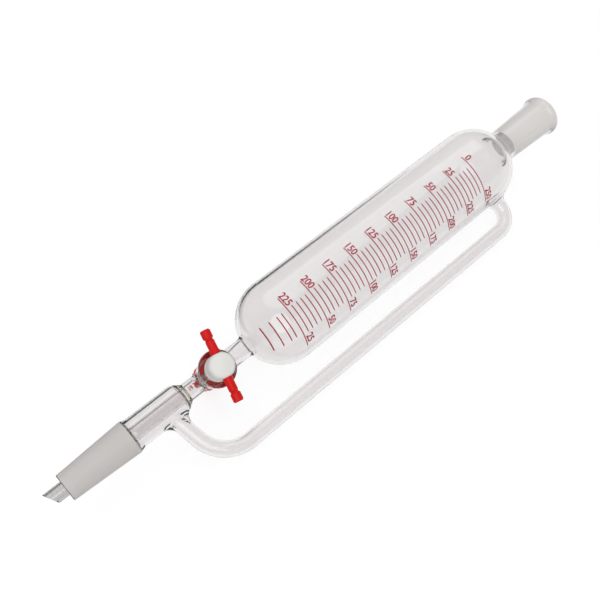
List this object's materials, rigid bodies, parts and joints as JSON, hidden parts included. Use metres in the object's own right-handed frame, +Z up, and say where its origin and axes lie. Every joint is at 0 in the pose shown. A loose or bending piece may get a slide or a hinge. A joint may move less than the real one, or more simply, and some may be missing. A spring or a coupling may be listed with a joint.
{
  "type": "pressure-equalizing addition funnel",
  "caption": "Long glass funnel with a stopcock and bar handle, a drip tube through a ground cone, and a side arm that leads pressure back above the liquid.",
  "frame": {"origin": "on the bench, under the middle of the funnel as it lies at rest", "axes": "+X along the funnel towards its upper joint, +Z up; the funnel lies rolled towards its side arm, so the stopcock's handle points up and over"},
  "size_m": [0.3702, 0.0628, 0.058],
  "materials": {
    "clear_glass": "clear, with frosted ground joints and a printed red scale",
    "white_ptfe": "waxy white, turned",
    "red_plastic": "moulded, semi-gloss",
    "black_rubber": "smooth"
  },
  "bodies": {
    "funnel": {"glass_funnel": "clear_glass"},
    "plug": {"stopcock_plug": "white_ptfe", "handle_bar": "red_plastic"},
    "washer_ring": {"keyed_washer": "red_plastic", "o_ring": "black_rubber"},
    "nut": {"retaining_nut": "red_plastic"}
  },
  "joints": [
    {"name": "plug_turn", "type": "hinge", "parent": "funnel", "child": "plug", "pos_m": [-0.08362, 0.00704, 0.02484], "axis": [0.0021, -0.5058, 0.8627], "continuous": true},
    {"name": "nut_travel", "type": "slide", "parent": "plug", "child": "washer_ring", "axis": [-0.0021, 0.5058, -0.8627], "range_m": [0, 0.006]},
    {"name": "nut_turn", "type": "hinge", "parent": "washer_ring", "child": "nut", "pos_m": [-0.08362, 0.00704, 0.02484], "axis": [-0.0021, 0.5058, -0.8627], "range_deg": [0, 1440.1]}
  ],
  "couplings": [
    {"joint": "nut_turn", "follows": "nut_travel", "rad_per_m": 4188.8}
  ]
}
